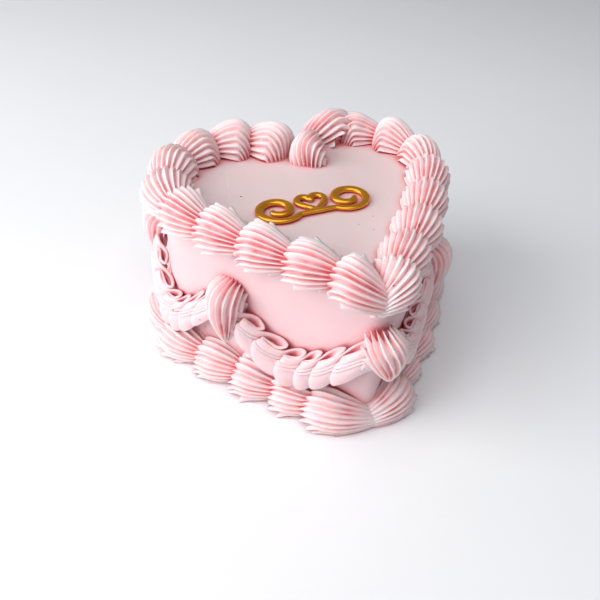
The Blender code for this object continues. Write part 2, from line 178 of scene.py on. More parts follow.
# %% [markdown]
# ## Butter cream
# Butter cream is butter whipped with fine sugar. It is soft and fatty: light enters it, spreads
# for a millimetre or two and comes out redder, and its surface has a low, broad gloss, with tiny
# air holes. So the shader has a fat's index of refraction, a middling roughness, some light under
# the surface, and a fine bump. In a groove, or where two pieces touch, light bounces from pink to
# pink and turns a strong salmon, and that shade is painted into the base colour as a salmon pink.
# An Ambient Occlusion node finds such places within a few millimetres, and an attribute named
# hollow, 1 at the bottom of a groove, helps it.

# %% Butter cream
FAT_IOR = 1.46
AIR_HOLE = 0.35 * MM
SMEAR = 5 * MM
SMEAR_TONE = 0.06
CREVICE = 5 * MM
GROOVE_SHADE_WEIGHT = 0.44
PAINTED_SHADE_PINK = "#E0707A"
LIGHT_SPREAD = {"Subsurface Radius": (1.0, 0.35, 0.25), "Subsurface Scale": 1.6 * MM}


def crevice_share(tree, reach, open_at, closed_at):
    """Socket that is 0 in the open and 1 in a crevice."""
    near = add_node(tree, "AmbientOcclusion", {"Distance": reach}, samples=8)
    closed = add_node(tree, "MapRange", {"Value": near.outputs["AO"], "From Min": open_at,
                                         "From Max": closed_at})
    return closed.outputs["Result"]


def butter_cream(name, light, deep, roughness, bump):
    """Butter cream between a light colour on the crests and a painted salmon shade in the hollows and
    crevices.
    """
    made, tree, shader = new_material(name)
    place = add_node(tree, "TexCoord", {}).outputs["Object"]
    hollow = add_node(tree, "Attribute", {}, attribute_name="hollow").outputs["Fac"]
    # Painted shade: in grooves, in the recess under a rim and where pieces touch, the base colour turns
    # towards the salmon shade colour.
    crevice = crevice_share(tree, CREVICE, open_at=0.65, closed_at=0.0)
    smear = add_node(tree, "TexNoise", {"Vector": place, "Scale": 1 / SMEAR, "Detail": 3.0})
    drift = add_node(tree, "MapRange", {"Value": smear.outputs["Fac"], "From Min": 0.3, "From Max": 0.7,
                                        "To Min": -SMEAR_TONE, "To Max": SMEAR_TONE})
    groove = add_node(tree, "Math", {0: hollow, 1: GROOVE_SHADE_WEIGHT, 2: drift.outputs["Result"]},
                      operation="MULTIPLY_ADD")
    share = add_node(tree, "Math", {0: groove.outputs["Value"], 1: crevice}, operation="ADD",
                     use_clamp=True)
    tint = add_node(tree, "Mix", {"Factor": share.outputs["Value"], "A": colour(light),
                                  "B": colour(deep)}, data_type="RGBA")
    holes = add_node(tree, "TexNoise", {"Vector": place, "Scale": 1 / AIR_HOLE, "Detail": 2.0})
    grain = add_node(tree, "Bump", {"Height": holes.outputs["Fac"], "Strength": bump,
                                    "Distance": 0.2 * MM})
    waves = add_node(tree, "Bump", {"Height": smear.outputs["Fac"], "Strength": bump,
                                    "Distance": 1.5 * MM, "Normal": grain.outputs["Normal"]})
    feed(tree, shader, {"Base Color": tint.outputs["Result"], "Normal": waves.outputs["Normal"],
                        "Roughness": roughness, "IOR": FAT_IOR, "Subsurface Weight": 0.5, **LIGHT_SPREAD})
    return made


PIPED = butter_cream("piped_butter_cream", "#F9E5E7", "#EE8189", 0.42, 0.12)
RUFFLED = butter_cream("ruffled_butter_cream", "#F3D4D8", PAINTED_SHADE_PINK, 0.45, 0.10)
print("made", PIPED.name, "and", RUFFLED.name)

# %% [markdown]
# ## Smoothed butter cream
# The coat of the cake is the same cream drawn smooth with a scraper. The steel closes most of the
# air holes and leaves long faint strokes, and on the top one straight crease where the scraper
# was lifted. The crease is a step in the bump, found by the distance to a line across the top.
# Light that has bounced off the piping tints the coat beside it, and that is painted into the
# coat's colour as a salmon shade, from a little further off than in a groove. The wall is painted
# a clearer pink than the top, and the top a greyer pink: painted light on the wall, painted shade
# on the top.

# %% Smoothed butter cream
CREASE_START = Vector((-0.0344, 0.055))
CREASE_END = Vector((-0.046, 0.0068))
CREASE_WIDTH = 0.9 * MM
STROKE = 14 * MM
STROKE_SHAPE = (1.0, 0.35, 1.0)
BOUNCE_SHADE_REACH = 9 * MM
TOP_FROM, TOP_TO = CAKE_HEIGHT - 2 * MM, CAKE_HEIGHT - 1 * MM


def smooth_butter_cream():
    """The scraped coat of the cake."""
    made, tree, shader = new_material("smooth_butter_cream")
    place = add_node(tree, "TexCoord", {}).outputs["Object"]
    run = (CREASE_END - CREASE_START).normalized()
    across = Vector((run.y, -run.x, 0))
    beside = add_node(tree, "VectorMath", {0: place, 1: tuple(across)}, operation="DOT_PRODUCT")
    line = across.xy.dot(CREASE_START)
    step = add_node(tree, "MapRange", {"Value": beside.outputs["Value"],
                                       "From Min": line + CREASE_WIDTH / 2,
                                       "From Max": line - CREASE_WIDTH / 2},
                    interpolation_type="SMOOTHSTEP")
    flat = add_node(tree, "Mapping", {"Vector": place, "Scale": STROKE_SHAPE})
    strokes = add_node(tree, "TexNoise", {"Vector": flat.outputs["Vector"], "Scale": 1 / STROKE,
                                          "Detail": 4.0})
    holes = add_node(tree, "TexNoise", {"Vector": place, "Scale": 1 / AIR_HOLE, "Detail": 2.0})
    height = add_node(tree, "SeparateXYZ", {"Vector": place}).outputs["Z"]
    on_top = add_node(tree, "MapRange", {"Value": height, "From Min": TOP_FROM,
                                         "From Max": TOP_TO}).outputs["Result"]
    # Painted light and shade: the wall is a clearer pink as if lit by the window, the top a greyer pink
    # as if in shade.
    wall = add_node(tree, "Mix", {"Factor": strokes.outputs["Fac"], "A": colour("#EAC7CC"),
                                  "B": colour("#EFCFD3")}, data_type="RGBA")
    top = add_node(tree, "Mix", {"Factor": strokes.outputs["Fac"], "A": colour("#E0CBCC"),
                                 "B": colour("#E6D3D4")}, data_type="RGBA")
    open_shade = add_node(tree, "Mix", {"Factor": on_top, "A": wall.outputs["Result"],
                                        "B": top.outputs["Result"]}, data_type="RGBA")
    # Painted shade: near the piping the coat's colour turns towards the salmon shade pink.
    crevice = crevice_share(tree, BOUNCE_SHADE_REACH, open_at=0.85, closed_at=0.2)
    shade = add_node(tree, "Mix", {"Factor": crevice, "A": open_shade.outputs["Result"],
                                   "B": colour(PAINTED_SHADE_PINK)}, data_type="RGBA")
    fine = add_node(tree, "Bump", {"Height": holes.outputs["Fac"], "Strength": 0.10,
                                   "Distance": 0.15 * MM})
    broad = add_node(tree, "Bump", {"Height": strokes.outputs["Fac"], "Strength": 0.25,
                                    "Distance": 1.0 * MM, "Normal": fine.outputs["Normal"]})
    step_on_top = add_node(tree, "Math", {0: step.outputs["Result"], 1: on_top}, operation="MULTIPLY")
    crease = add_node(tree, "Bump", {"Height": step_on_top.outputs["Value"], "Strength": 0.5,
                                     "Distance": 0.35 * MM, "Normal": broad.outputs["Normal"]})
    feed(tree, shader, {"Base Color": shade.outputs["Result"], "Normal": crease.outputs["Normal"],
                        "Roughness": 0.5, "IOR": FAT_IOR, "Subsurface Weight": 0.3, **LIGHT_SPREAD})
    return made


SMOOTH = smooth_butter_cream()
print("made", SMOOTH.name)

# %% [markdown]
# ## Finishing a piece
# Nearly every piece below starts as a primitive whose vertices are then placed. A few small
# functions end the work on each: its faces are turned outwards, it is shaded smooth, gets its
# material and rides on the cake's one body. A new primitive is the only thing selected, because
# everything is deselected first.

# %% Helpers for meshes
pieces = {}


def deselect():
    """Nothing selected and nothing in edit mode."""
    if bpy.context.object and bpy.context.object.mode != "OBJECT":
        bpy.ops.object.mode_set(mode="OBJECT")
    bpy.ops.object.select_all(action="DESELECT")


def face_outwards():
    """Turn the faces of the active piece outwards."""
    bpy.ops.object.mode_set(mode="EDIT")
    bpy.ops.mesh.select_all(action="SELECT")
    bpy.ops.mesh.normals_make_consistent(inside=False)
    bpy.ops.object.mode_set(mode="OBJECT")


def mark_hollows(piece, hollows):
    """Give each vertex the hollow value, the share of painted shade that the butter cream reads."""
    mark = piece.data.attributes.new("hollow", "FLOAT", "POINT")
    mark.data.foreach_set("value", hollows)


def finish_piece(piece, name, material):
    """Name, shade, paint and tie down a finished piece."""
    piece.name = name
    piece.data.name = name
    piece.data.materials.clear()
    piece.data.materials.append(material)
    piece.data.shade_smooth()
    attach(piece, "root")
    pieces[name] = piece
    return piece


def sphere_places(piece):
    """For each vertex of a unit sphere: the vertex, its share from pole to pole and its share round."""
    for vertex in piece.data.vertices:
        along = math.acos(max(-1.0, min(1.0, vertex.co.z))) / math.pi
        round_share = math.atan2(vertex.co.y, vertex.co.x) / (2 * math.pi) % 1.0
        yield vertex, along, round_share


print("helpers ready")

# %% [markdown]
# ## The cake under the piping
# The coated cake is a heart shaped block with a soft top edge and a top that is never quite flat.
# It could be an extruded outline with a bevel, but then its top is one big face that can't be
# uneven. So a sphere gives the net instead: its rings become hearts, from the middle of the
# underside, up the wall, round the edge, to the middle of the top.

# %% Cake body
BODY_SIDES = 256
BODY_RINGS = 48
SEAM_SHARE = 1 - 0.5 / BODY_SIDES
UNDERSIDE_TO, WALL_TO, EDGE_TO = 0.12, 0.5, 0.65
EDGE_ROUND = 3.5 * MM
TOP_MIDDLE = Vector((0, 0.008, 0))
WALL_WAVE = 0.25 * MM
TOP_WAVE = 0.3 * MM
# Wave numbers and starts, in radians a metre and radians
ROUND_WAVES, SLANT, UP_WAVES, UP_START = 95, 60, 140, 1.3
TOP_WAVES = ((70, 0.7), (55, 0.4))


def body_ring(along):
    """Inset from the wall, height, and share of the way to the middle, for one ring of the body."""
    if along < UNDERSIDE_TO:
        return 0.0, 0.0, 1 - along / UNDERSIDE_TO
    if along < WALL_TO:
        climb = (along - UNDERSIDE_TO) / (WALL_TO - UNDERSIDE_TO)
        return 0.0, climb * (CAKE_HEIGHT - EDGE_ROUND), 0.0
    if along < EDGE_TO:
        bend = (along - WALL_TO) / (EDGE_TO - WALL_TO) * math.pi / 2
        return EDGE_ROUND * (1 - math.cos(bend)), CAKE_HEIGHT - EDGE_ROUND * (1 - math.sin(bend)), 0.0
    return EDGE_ROUND, CAKE_HEIGHT, (along - EDGE_TO) / (1 - EDGE_TO)


def wall_wave(s, height):
    """How far the hand of the baker left the wall out or in, in waves a few centimetres long."""
    return (WALL_WAVE * math.sin(s * ROUND_WAVES + height * SLANT)
            * math.sin(height * UP_WAVES + UP_START))


def top_wave(place):
    """How far the top stands high or low, in waves of about a decimetre."""
    (x_waves, x_start), (y_waves, y_start) = TOP_WAVES
    return TOP_WAVE * math.sin(place.x * x_waves + x_start) * math.sin(place.y * y_waves + y_start)


def make_body():
    """The coated cake, in one closed skin."""
    deselect()
    bpy.ops.mesh.primitive_uv_sphere_add(segments=BODY_SIDES, ring_count=BODY_RINGS, radius=1)
    piece = bpy.context.object
    for vertex, along, share in sphere_places(piece):
        inset, height, inward = body_ring(along)
        s = (share * 2 - 1) * HALF_EDGE * SEAM_SHARE
        wave = wall_wave(s, height) if inward == 0 else 0
        place = edge(s, wave - inset).lerp(TOP_MIDDLE, inward)
        if height >= CAKE_HEIGHT:
            height += top_wave(place)
        vertex.co = place + UP * height
    face_outwards()
    body = finish_piece(piece, "coated_cake", SMOOTH)
    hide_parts("cake_body")
    return body


body = make_body()
print("cake body:", len(body.data.polygons), "faces")

# %% [markdown]
# ## One piped shell
# A shell is squeezed from a nozzle with many fine teeth. The cream swells into a round head, the
# bag is drawn back, and the ridges run together into a thin tail. So its form is a spine with
# cross sections: a blunt head, a long taper, and round each section a row of ridges with thin
# crests and wide hollow grooves. A primitive sphere gives the net, with its poles at head and
# tail. Bevels or a screw can't make ridges that fan out and close again, so the vertices are
# placed by formula. No two shells are alike: each ridge has its own width, height and reach.

# %% Ridges of a shell
STEPS_PER_RIDGE = 8
BACK_STEPS = 16
RIDGED_ARC = math.radians(250)
CREST_PLACE = 0.625
RIDGE_SHIFT = 0.18
RIDGE_HEIGHTS = (0.8, 1.1)
RIM_REACHES = (0.3, 1.5)
WHOLE_TURN = (0, 6.3)


def ridge_plan(draw, ridges):
    """Start, height, reach at the rim and wobble of each ridge of one shell."""
    plan = []
    for i in range(ridges + 1):
        start = i + (draw.uniform(-RIDGE_SHIFT, RIDGE_SHIFT) if 0 < i < ridges else 0)
        plan.append((start, draw.uniform(*RIDGE_HEIGHTS), draw.uniform(*RIM_REACHES),
                     draw.uniform(*WHOLE_TURN)))
    return plan


def ridge_at(plan, turn_share, sharpness):
    """Angle, crest share from 0 to 1, and the ridge's own numbers, at a share of the way round."""
    ridges = len(plan) - 1
    ridged = ridges * STEPS_PER_RIDGE / (ridges * STEPS_PER_RIDGE + BACK_STEPS)
    if turn_share >= ridged:
        back = (turn_share - ridged) / (1 - ridged)
        return RIDGED_ARC / 2 + back * (2 * math.pi - RIDGED_ARC), 0.0, plan[-1]
    number, inside = divmod(turn_share / ridged * ridges, 1)
    ridge, following = plan[int(number)], plan[int(number) + 1]
    angle = (ridge[0] + (following[0] - ridge[0]) * inside) / ridges * RIDGED_ARC - RIDGED_ARC / 2
    flank = inside / CREST_PLACE if inside < CREST_PLACE else (1 - inside) / (1 - CREST_PLACE)
    return angle, flank ** sharpness, ridge


print("ridge plan of one shell:", len(ridge_plan(random.Random(1), 16)))

# %% [markdown]
# ## The head of a shell
# The nozzle starts low and the cream wells up over it. So the ridges don't meet at the front of
# the head but underneath it: they rise from a pole that points down and a little inwards, run
# over the head and bend back to the tail. In the model the pole of the head is turned, and the
# turn dies out at the widest place. Round the pole the ridges end in a rim of free curled lips.
# The ridges low on each side touch the cake sooner, so there the rim runs back towards the tail,
# and the lips lie in steps, one over the next.

# %% Head and tail
WIDEST = 0.32
TAIL_SHARE = 0.13
BLUNTNESS = 2.8
QUARTER = math.pi / 2
RINGS = 50
RIM_RING = 12
LIP = ((0.0, 0.0), (-0.035, 0.22), (-0.01, 0.55), (0.05, 1.0))


def shell_profile(t, taper):
    """Half width of a shell at share t of its length: a round head, then an arched taper."""
    if t < WIDEST:
        return (1 - (1 - t / WIDEST) ** BLUNTNESS) ** (1 / BLUNTNESS)
    return 1 - (1 - TAIL_SHARE) * ((t - WIDEST) / (1 - WIDEST)) ** taper


def rim_place(kind, angle):
    """Where the rim lies at a ridge angle: 0 at the pole, 1 at the widest place, 2 at the tail."""
    reach, span, power = kind["rim_out"] if angle < 0 else kind["rim_in"]
    return kind["rim"] + reach * min(1.0, abs(angle) / math.radians(span)) ** power


def path_place(ring, rim):
    """Place from pole to tail and share of the recess under the rim, for one ring of the net."""
    if ring >= RIM_RING:
        return rim + (2 - rim) * (ring - RIM_RING) / (RINGS - RIM_RING), 0.0
    inside = RIM_RING - ring
    if inside < len(LIP):
        return rim + LIP[inside][0], LIP[inside][1]
    deepest = len(LIP) - 1
    return (rim + LIP[deepest][0]) * ring / (RIM_RING - deepest), 1.0


def head_place(polar, angle, down, inward):
    """Share along the spine and angle round it, for a polar angle and a ridge angle on the head."""
    ease = 1 - polar / QUARTER
    along = math.cos(polar)
    across, up = math.sin(polar) * math.cos(angle), math.sin(polar) * math.sin(angle)
    down, inward = down * ease, inward * ease
    along, up = (along * math.cos(down) + up * math.sin(down),
                 up * math.cos(down) - along * math.sin(down))
    along, across = (along * math.cos(inward) + across * math.sin(inward),
                     across * math.cos(inward) - along * math.sin(inward))
    round_part = math.hypot(across, up)
    if along > 0:
        along /= (along ** BLUNTNESS + round_part ** BLUNTNESS) ** (1 / BLUNTNESS)
    return WIDEST * (1 - along), math.atan2(up, across)


print("profile at head, widest and tail:", [round(shell_profile(t, 1.5), 2) for t in (0, WIDEST, 1)])

# %% [markdown]
# ## Shaping a shell along its spine
# The depth of the ridges is a real depth, not a share, so that they stay deep over the head. It
# fades where the tail is drawn thin and is less under the rim, and no groove takes more than four
# fifths of the way to the spine. Each crest reaches past its grooves at the rim and stands out
# there like a small fin, which gives the row its flames. A slow twist and some soft lumps take
# away the look of a machine. Cream that would sink into the table is pressed flat on it. The
# hollow attribute carries a painted shade: it is full in the recess under the rim, weaker on the
# lips and strongest in the narrow grooves towards the tail.

# %% Shape a shell
UNEVEN_TWIST = 0.25
UNEVEN_DOWN = 0.15
UNEVEN_INWARD = 0.2
LONG_LUMP, ROUND_LUMP = 0.025, 0.02
LUMPS_ALONG, LUMPS_ROUND = 5, 2
FULL_DEPTH_SIZE = 0.5
TAIL_FADE = 0.3
WOBBLE, WOBBLES_ALONG = 0.12, 20
SHALLOW_UNDER = 0.6
DEEPEST = 0.8
HOLLOW_FADE = 1.4
RIM_FADE = 0.12
PALE_REACH = 0.9
PALE_LEAST = 0.3
PRESSED = 1.5 * MM


def groove_drop(kind, t, crest, under, fan, height, wobble):
    """How deep the surface lies under the crests at one place."""
    uneven = 1 + WOBBLE * math.sin(WOBBLES_ALONG * t + wobble)
    return kind["depth"] * height * fan * (1 - crest) * (1 - SHALLOW_UNDER * under) * uneven


def shape_shell(name, spine, half_width, half_height, lean, kind, seed, on_table):
    """One shell: spine(t) gives the centre and the two directions across."""
    deselect()
    sides = kind["ridges"] * STEPS_PER_RIDGE + BACK_STEPS
    bpy.ops.mesh.primitive_uv_sphere_add(segments=sides, ring_count=RINGS, radius=1)
    piece = bpy.context.object
    draw = random.Random(seed)
    plan = ridge_plan(draw, kind["ridges"])
    twist = kind["twist"] + draw.uniform(-UNEVEN_TWIST, UNEVEN_TWIST)
    down = kind["down"] + draw.uniform(-UNEVEN_DOWN, UNEVEN_DOWN)
    inward = kind["inward"] + draw.uniform(-UNEVEN_INWARD, UNEVEN_INWARD)
    long_start, round_start = draw.uniform(*WHOLE_TURN), draw.uniform(*WHOLE_TURN)
    hollows = []
    for vertex, along, share in sphere_places(piece):
        angle, crest, (_, height, reach, wobble) = ridge_at(plan, share, kind["sharpness"])
        rim = rim_place(kind, angle) - kind["reach"] * reach * crest
        flare = kind["flare"] if angle < 0 else kind["fins"]
        place, under = path_place(round(along * RINGS), rim)
        angle += lean
        drawn = 1.0
        if place < 1:
            fan = min(1.0, math.sin(place * QUARTER) / FULL_DEPTH_SIZE)
            t, angle = head_place(place * QUARTER, angle, down, inward)
        else:
            t = WIDEST + (1 - WIDEST) * (place - 1)
            drawn = min(1.0, max(0.0, kind["ridged_to"] - t) / TAIL_FADE)
            fan = min(drawn, shell_profile(t, kind["taper"]) / FULL_DEPTH_SIZE)
        angle += twist * (t - WIDEST)
        lumps = (1 + LONG_LUMP * math.sin(LUMPS_ALONG * t + long_start)
                 + ROUND_LUMP * math.sin(LUMPS_ROUND * angle + round_start))
        size = shell_profile(t, kind["taper"]) * lumps
        centre, sideways, up = spine(t)
        core = spine(max(t, WIDEST))[0]
        arm = (centre - core + sideways * (half_width * size * math.cos(angle))
               + up * (half_height * size * math.sin(angle)))
        near_rim = math.exp(-((place - rim) / RIM_FADE) ** 2)
        swell = 1 - kind["recess"] * under + flare * crest * near_rim
        drop = groove_drop(kind, t, crest, under, fan, height, wobble)
        vertex.co = core + arm * swell - arm.normalized() * min(drop, arm.length * DEEPEST)
        if on_table and vertex.co.z < PRESSED:
            vertex.co.z = PRESSED * math.exp(vertex.co.z / PRESSED - 1)
        # Painted shade: the hollow value is full in the recess under the rim and in the grooves, and
        # weaker near the lips.
        pale = PALE_LEAST + (1 - PALE_LEAST) * min(1.0, max(0.0, (place - rim) / PALE_REACH))
        hollows.append(max(under, (1 - crest) ** HOLLOW_FADE * pale * drawn))
    face_outwards()
    mark_hollows(piece, hollows)
    shell = finish_piece(piece, "piped_" + name, PIPED)
    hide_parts(name)


print("ready to pipe")

# %% [markdown]
# ## Where the shells lie
# Two rows go round the cake, one along the top edge and one round the base, from the notch down
# each side to the point, so each head covers the tail of the one before. Their places, sizes and
# slight growth along the row are the same values as in the measured model, so each shell lies
# exactly where its solid is. Six more hang on the wall, head up.

# %% Spines of the shells
def row_spine(front, tail, offset, z, tail_out=0.0, tail_fall=0.0):
    """Spine along the edge from arc length front to arc length tail, bent as the edge bends."""
    start, end = edge(front, offset), edge(tail, offset + tail_out)
    through = edge((front + tail) / 2, offset + tail_out / 4)
    control = through * 2 - (start + end) / 2
    turn = 1 if front > tail else -1

    def spine(t):
        place = start * (1 - t) ** 2 + control * (2 * t * (1 - t)) + end * t * t
        run = (control - start) * (1 - t) + (end - control) * t
        out = Vector((run.y, -run.x, 0)).normalized() * -turn
        return place + UP * (z - tail_fall * t * t), out, UP

    return spine


def line_spine(head, tail, side, out):
    """Straight spine from head to tail with fixed directions across."""

    def spine(t):
        return head.lerp(tail, t), side, out

    return spine


def ramp(i, start, end, first, last):
    """Value for shell i of a row that grows from start to end between shells first and last."""
    return start + (end - start) * min(max((i - first) / (last - first), 0), 1)


print("spines ready")

# %% [markdown]
# ## The rows as numbers
# Each row is a small table of sizes for its right and left side: the number of shells, the place
# of the first, the pitch, the offset from the edge and the growth. The shell at the notch pours
# inwards over the top, as if the last squeeze of the bag was laid there. Beside it the last shell
# of the right side was piped the other way round, from the notch back to the row, and heaped up.

# %% Rows, notch shell and drops
TOP_ROW = {
    "count": {"right": 9, "left": 10},
    "first": {"right": 1 * MM, "left": 13.5 * MM},
    "pitch": {"right": 24.4 * MM, "left": 24.4 * MM},
    "stretch": {"right": 0, "left": -0.2 * MM},
    "length": 34 * MM,
    "head_share": 0.36,
    "half_width": 12.6 * MM,
    "half_height": 13.4 * MM,
    "offset": {"right": (-4.4 * MM, -2.4 * MM, 0, 8), "left": (-3.2 * MM, 1.6 * MM, 4, 9)},
    "size": {"right": (1, 1.05, 0, 8), "left": (1, 1.16, 4, 9)},
    "z": CAKE_HEIGHT + 1.2 * MM,
    "lean": math.radians(62),
    "point_tail": (7 * MM, 12 * MM),
}
BASE_ROW = {
    "count": {"right": 9, "left": 9},
    "first": {"right": 11 * MM, "left": 16 * MM},
    "pitch": {"right": 22.3 * MM, "left": 21 * MM},
    "stretch": {"right": 0.4 * MM, "left": 0.5 * MM},
    "length": 34 * MM,
    "head_share": 0.38,
    "half_width": 15.6 * MM,
    "half_height": 13.2 * MM,
    "offset": {"right": (-1 * MM, 5 * MM, 0, 4), "left": (0.6 * MM, 1.6 * MM, 4, 8)},
    "size": {"right": (1, 1.05, 0, 4), "left": (1, 1.03, 4, 8)},
    "z": 6.6 * MM,
    "lean": math.radians(42),
    "point_tail": (7 * MM, 4 * MM),
}
TAIL_PAST_POINT = -6.5 * MM
UPRIGHT = math.pi / 2
NOTCH_HEAD = Vector((6.5 * MM, 39 * MM, CAKE_HEIGHT))
NOTCH_TAIL = Vector((19 * MM, 59 * MM, CAKE_HEIGHT + 8 * MM))
NOTCH_SIZE = (11 * MM, 14 * MM)
PILE_NAME = "top_shell_right_09"
PILE_SPINE = {"front": 174 * MM, "tail": 214 * MM, "offset": -2.4 * MM,
              "z": CAKE_HEIGHT + 2.4 * MM, "tail_fall": 3 * MM}
PILE_LEAN = math.radians(100)
DROP_PLACES = (0, 79 * MM, 149 * MM)
DROP_HALF_DEPTH = 12 * MM
DROP_TAIL_OUT = 5 * MM
SIDE_DROP = {"top": 64 * MM, "length": 36 * MM, "half_width": 10.2 * MM, "out": 4 * MM}
OWN_DROPS = {
    "point": {"head": -1 * MM, "tail": 1.5 * MM, "length": 28 * MM, "half_width": 11.4 * MM,
              "out": 3 * MM},
    "left_1": {"head": -77.5 * MM, "tail": -75 * MM, "top": 66 * MM, "half_width": 9.7 * MM,
               "out": 3 * MM},
    "left_2": {"top": 70 * MM},
}


def row_plans(kind, label, row):
    """One row on one side as name, spine, half width, half height and lean."""
    side = 1 if label == "right" else -1
    plans = []
    for i in range(row["count"][label]):
        middle = row["first"][label] + row["pitch"][label] * i + row["stretch"][label] * i * i
        front = middle + row["length"] * row["head_share"]
        back = max(front - row["length"], TAIL_PAST_POINT)
        out, fall = row["point_tail"] if i == 0 else (0, 0)
        offset = ramp(i, *row["offset"][label])
        spine = row_spine(side * front, side * back, offset, row["z"], out, fall)
        size = ramp(i, *row["size"][label])
        name, lean = f"{kind}_{label}_{i + 1:02d}", row["lean"]
        if name == PILE_NAME:
            spine, lean = row_spine(**PILE_SPINE), PILE_LEAN
        plans.append((name, spine, row["half_width"] * size, row["half_height"] * size, lean))
    return plans


def drop_plans():
    """The six drops: at the point, in the notch and two on each side."""
    places = {"point": 0, "notch": HALF_EDGE}
    for number, s in enumerate(DROP_PLACES[1:], 1):
        places[f"right_{number}"] = s
        places[f"left_{number}"] = -s
    plans = []
    for label, s in places.items():
        drop = {**SIDE_DROP, "head": s, "tail": s, **OWN_DROPS.get(label, {})}
        head = edge(drop["head"], drop["out"]) + UP * drop["top"]
        tail = edge(drop["tail"], drop["out"] + DROP_TAIL_OUT) + UP * (drop["top"] - drop["length"])
        out = outward((drop["head"] + drop["tail"]) / 2)
        spine = line_spine(head, tail, UP.cross(out), out)
        plans.append((f"drop_shell_{label}", spine, drop["half_width"], DROP_HALF_DEPTH, UPRIGHT))
    return plans


notch_side = (NOTCH_TAIL - NOTCH_HEAD).normalized().cross(UP).normalized()
notch_spine = line_spine(NOTCH_HEAD, NOTCH_TAIL, notch_side, UP)
plans = [("top_shell_notch", notch_spine, *NOTCH_SIZE, UPRIGHT)]
for kind, row in (("top_shell", TOP_ROW), ("base_shell", BASE_ROW)):
    plans += row_plans(kind, "right", row) + row_plans(kind, "left", row)
plans += drop_plans()
print("shells planned:", len(plans))

# %% [markdown]
# ## Piping
# Every shell gets its own size and turn from the same seeded draws as its solid, and a seed of
# its own for its ridges. A kind says how the bag was held. It gives the ridges' number, sharpness
# and depth, the taper of the tail, the twist, and how far the head is turned down and inwards.
# Recess is the hollow under the rim, flare and fins are how far the lips stand out on the outer
# and the inner side, rim is the place of the rim, and reach how far the crests pass it. On each
# side the rim runs back by a reach, over a span in degrees, with a power. The ridges have faded
# out at ridged_to, which comes earlier in the shells at the point, whose long drawn tails end
# smooth. The pile twists as it is heaped up, and the base row is pressed flat on the table.

# %% Pipe the shells
UNEVEN = 0.045
UNEVEN_TURN = math.radians(4)
UNEVEN_SEED = 14
RIDGE_SEED = 100
LEFT = {
    "ridges": 16, "sharpness": 1.5, "depth": 2.9 * MM, "taper": 1.5, "twist": 0.0,
    "down": math.radians(72), "inward": math.radians(22), "recess": 0.38, "flare": 0.06, "fins": 0.11,
    "rim": 0.2, "reach": 0.06, "rim_out": (1.6, 108, 3), "rim_in": (1.4, 92, 2), "ridged_to": 1.0,
}
KINDS = {
    "left": LEFT,
    "back": {**LEFT, "sharpness": 0.95, "depth": 2.4 * MM, "recess": 0.1, "fins": 0.05,
             "rim": 0.36, "rim_in": (0.1, 125, 3)},
    "right": {**LEFT, "ridges": 15, "sharpness": 0.85, "depth": 3.2 * MM, "down": math.radians(58),
              "recess": 0.25, "fins": 0.05, "rim": 0.6, "reach": 0.17, "rim_out": (1.2, 112, 3),
              "rim_in": (0.25, 125, 3)},
    "pile": {**LEFT, "ridges": 13, "sharpness": 1.0, "depth": 3.2 * MM, "twist": 1.0, "inward": 0.0,
             "recess": 0.3, "flare": 0.08, "fins": 0.18, "rim": 0.36, "reach": 0.12,
             "rim_in": (1.5, 95, 2)},
    "notch": {**LEFT, "ridges": 13, "twist": -1.2, "inward": 0.0, "recess": 0.25, "fins": 0.06,
              "rim": 0.4, "rim_out": (0.5, 110, 3), "rim_in": (0.5, 110, 3)},
    "base": {**LEFT, "ridges": 18, "sharpness": 1.1, "depth": 2.4 * MM, "taper": 1.6,
             "down": math.radians(48), "inward": 0.0, "recess": 0.25, "flare": 0.14, "fins": 0.14,
             "rim": 0.55, "reach": 0.26, "rim_out": (1.2, 85, 2.5), "rim_in": (0.5, 120, 3)},
    "drop": {**LEFT, "ridges": 12, "down": math.radians(80), "inward": 0.0, "recess": 0.12,
             "flare": 0.1, "fins": 0.1, "rim": 0.36, "reach": 0.16, "rim_out": (0.8, 115, 4),
             "rim_in": (0.2, 125, 3)},
    "drop_point": {**LEFT, "ridges": 12, "twist": -0.9, "down": math.radians(64), "inward": 0.0,
                   "recess": 0.2, "flare": 0.1, "fins": 0.1, "rim": 0.5, "reach": 0.2,
                   "rim_out": (0.5, 120, 3), "rim_in": (1.2, 105, 3)},
}
FRONT_SHELLS = 5
BACK_FROM = 7
SMOOTH_TIP = {"ridged_to": 0.87}


def shell_kind(name):
    """The kind of a shell, by its row and its number in it."""
    row, _, label, *number = name.split("_")
    if row == "drop":
        return KINDS["drop_point" if label == "point" else "drop"]
    if label == "notch":
        return KINDS["notch"]
    if name == PILE_NAME:
        return KINDS["pile"]
    place = int(number[0])
    if row == "base":
        kind = KINDS["base"]
    elif label == "right":
        kind = KINDS["back" if place >= BACK_FROM else "right"]
    else:
        kind = KINDS["left" if place <= FRONT_SHELLS else "back"]
    return {**kind, **SMOOTH_TIP} if place == 1 else kind


sizes = random.Random(UNEVEN_SEED)
for number, (name, spine, half_width, half_height, lean) in enumerate(plans):
    size = 1 + sizes.uniform(-UNEVEN, UNEVEN)
    turned = lean + sizes.uniform(-UNEVEN_TURN, UNEVEN_TURN)
    on_table = name.startswith("base")
    shape_shell(name, spine, half_width * size, half_height * size, turned, shell_kind(name),
                RIDGE_SEED + number, on_table)
print("piped", len(plans), "shells")

# %% [markdown]
# ## Ruffled garlands
# A garland is one ribbon of cream from a nozzle with a long narrow slot. The hand goes to and fro
# as it moves along, so the ribbon folds over itself. Each fold starts with a knob in front, runs
# on behind the next knob to the wall, makes a flat ear there, and comes back to that next knob. So
# three layers lie on each other, and from above their edges show as S-shaped loops. In the middle
# two thin ridges run along the ribbon, and below each fold hangs out as a petal. The garland is a
# grid laid along that path, and Solidify gives the ribbon its thickness.

